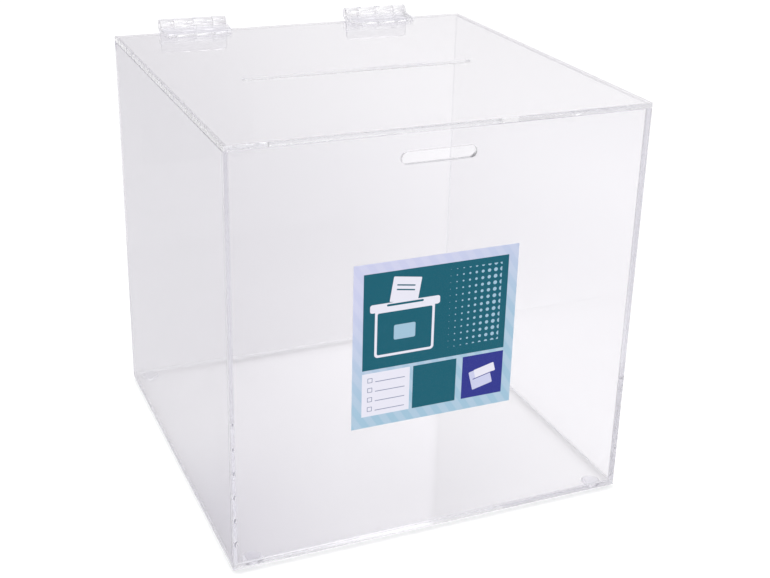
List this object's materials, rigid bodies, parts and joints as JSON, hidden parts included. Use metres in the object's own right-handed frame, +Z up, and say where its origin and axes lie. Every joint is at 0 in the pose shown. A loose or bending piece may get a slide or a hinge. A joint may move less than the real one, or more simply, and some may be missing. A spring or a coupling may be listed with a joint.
{
  "type": "ballot box",
  "caption": "Clear acrylic cube box with a lid hinged at the back, a paper slot in the lid and a finger slot in the front, for collecting ballots or notes.",
  "frame": {"origin": "on the surface that the feet stand on, under the middle of the part's bounding box", "axes": "+Z up, the front panel with the label faces -Y, +X to the right of someone who faces the front; the hinges are at +Y"},
  "size_m": [0.25, 0.2584, 0.2612],
  "materials": {
    "acrylic_sheet": "clear polished acrylic sheet with a cool cast",
    "hinge_plastic": "clear moulded plastic, glossy",
    "foot_rubber": "clear soft bumper, glossy",
    "label_film": "printed self-adhesive film, satin"
  },
  "bodies": {
    "box": {"base_panel": "acrylic_sheet", "front_panel": "acrylic_sheet", "back_panel": "acrylic_sheet", "left_panel": "acrylic_sheet", "right_panel": "acrylic_sheet", "left_hinge_body_leaf": "hinge_plastic", "left_hinge_pin": "hinge_plastic", "right_hinge_body_leaf": "hinge_plastic", "right_hinge_pin": "hinge_plastic", "front_left_foot": "foot_rubber", "front_right_foot": "foot_rubber", "back_left_foot": "foot_rubber", "back_right_foot": "foot_rubber", "front_label": "label_film"},
    "lid": {"lid_panel": "acrylic_sheet", "left_hinge_lid_leaf": "hinge_plastic", "right_hinge_lid_leaf": "hinge_plastic"}
  },
  "joints": [
    {"name": "lid_hinge", "type": "hinge", "parent": "box", "child": "lid", "pos_m": [0, 0.12518, 0.2572], "axis": [-1, 0, 0], "range_deg": [0, 270]}
  ]
}
